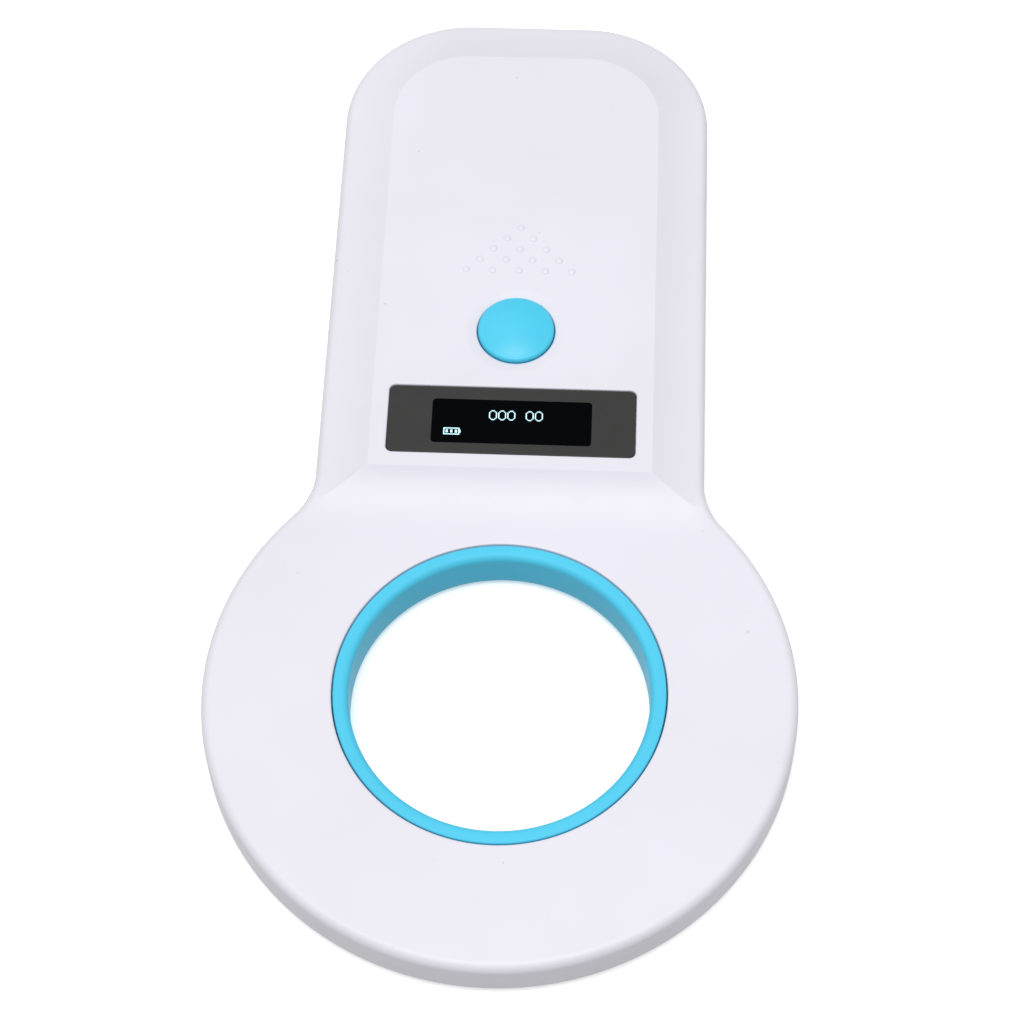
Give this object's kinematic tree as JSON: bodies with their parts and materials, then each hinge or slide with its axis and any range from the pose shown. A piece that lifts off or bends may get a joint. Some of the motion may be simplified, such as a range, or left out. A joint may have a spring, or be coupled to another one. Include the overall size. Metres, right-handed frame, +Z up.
{
  "type": "microchip scanner",
  "caption": "Handheld pet microchip reader: a flat antenna ring with a coloured liner, and a raised handle with a small display and a push button.",
  "frame": {"origin": "under the middle of the whole object, on the flat underside that it rests on", "axes": "+Z up through the display and the button, +Y from the antenna ring towards the handle's end, +X to the right"},
  "size_m": [0.087, 0.1675, 0.0123],
  "materials": {
    "shell": "fine satin moulding, warm white with a faint violet cast",
    "cyan_plastic": "smooth satin-gloss moulding",
    "copper": "enamelled copper wire",
    "black_tape": "matt adhesive tape",
    "dark_window": "polished dark grey window",
    "display_glass": "polished black display panel",
    "foam": "matt closed-cell foam",
    "black_plastic": "matt moulding",
    "ribbon": "amber film",
    "cream_plastic": "matt moulding",
    "board": "solder mask over woven glass board",
    "battery_foil": "crimped foil pouch",
    "white_tape": "matt adhesive tape",
    "wire": "insulated wire",
    "steel": "plated steel",
    "chip": "matt moulded chip case",
    "ceramic_part": "fired ceramic with tinned ends"
  },
  "bodies": {
    "scanner": {"top_shell": "shell", "bottom_shell": "shell", "ring_liner": "cyan_plastic", "antenna_coil": "copper", "coil_leads": "copper", "window_tape": "black_tape", "display_window": "dark_window", "display_glass": "display_glass", "display_foam": "foam", "display_holder": "black_plastic", "display_ribbon": "ribbon", "ribbon_connector": "cream_plastic", "main_board": "board", "switch_case": "black_plastic", "battery": "battery_foil", "battery_tape": "white_tape", "battery_wires": "wire", "battery_plug": "cream_plastic", "battery_header": "cream_plastic", "usb_socket": "steel", "usb_tongue": "black_plastic", "buzzer": "black_plastic", "microcontroller": "chip", "reader_chip": "chip", "memory_chip": "chip", "charger_chip": "chip", "crystal": "steel", "coil_capacitors": "ceramic_part", "small_capacitors": "ceramic_part", "small_resistors": "chip", "shell_screws": "steel", "board_screws": "steel"},
    "button": {"button_cap": "cyan_plastic"},
    "plunger": {"switch_plunger": "cream_plastic"}
  },
  "joints": [
    {"name": "button_press", "type": "slide", "parent": "scanner", "child": "button", "axis": [0, 0, -1], "range_m": [0, 0.0003], "stiffness_N_per_m": 3000, "springref_m": -0.00005},
    {"name": "plunger_press", "type": "slide", "parent": "scanner", "child": "plunger", "axis": [0, 0, -1], "range_m": [0, 0.0003]}
  ],
  "couplings": [
    {"joint": "plunger_press", "follows": "button_press", "ratio": 1}
  ]
}
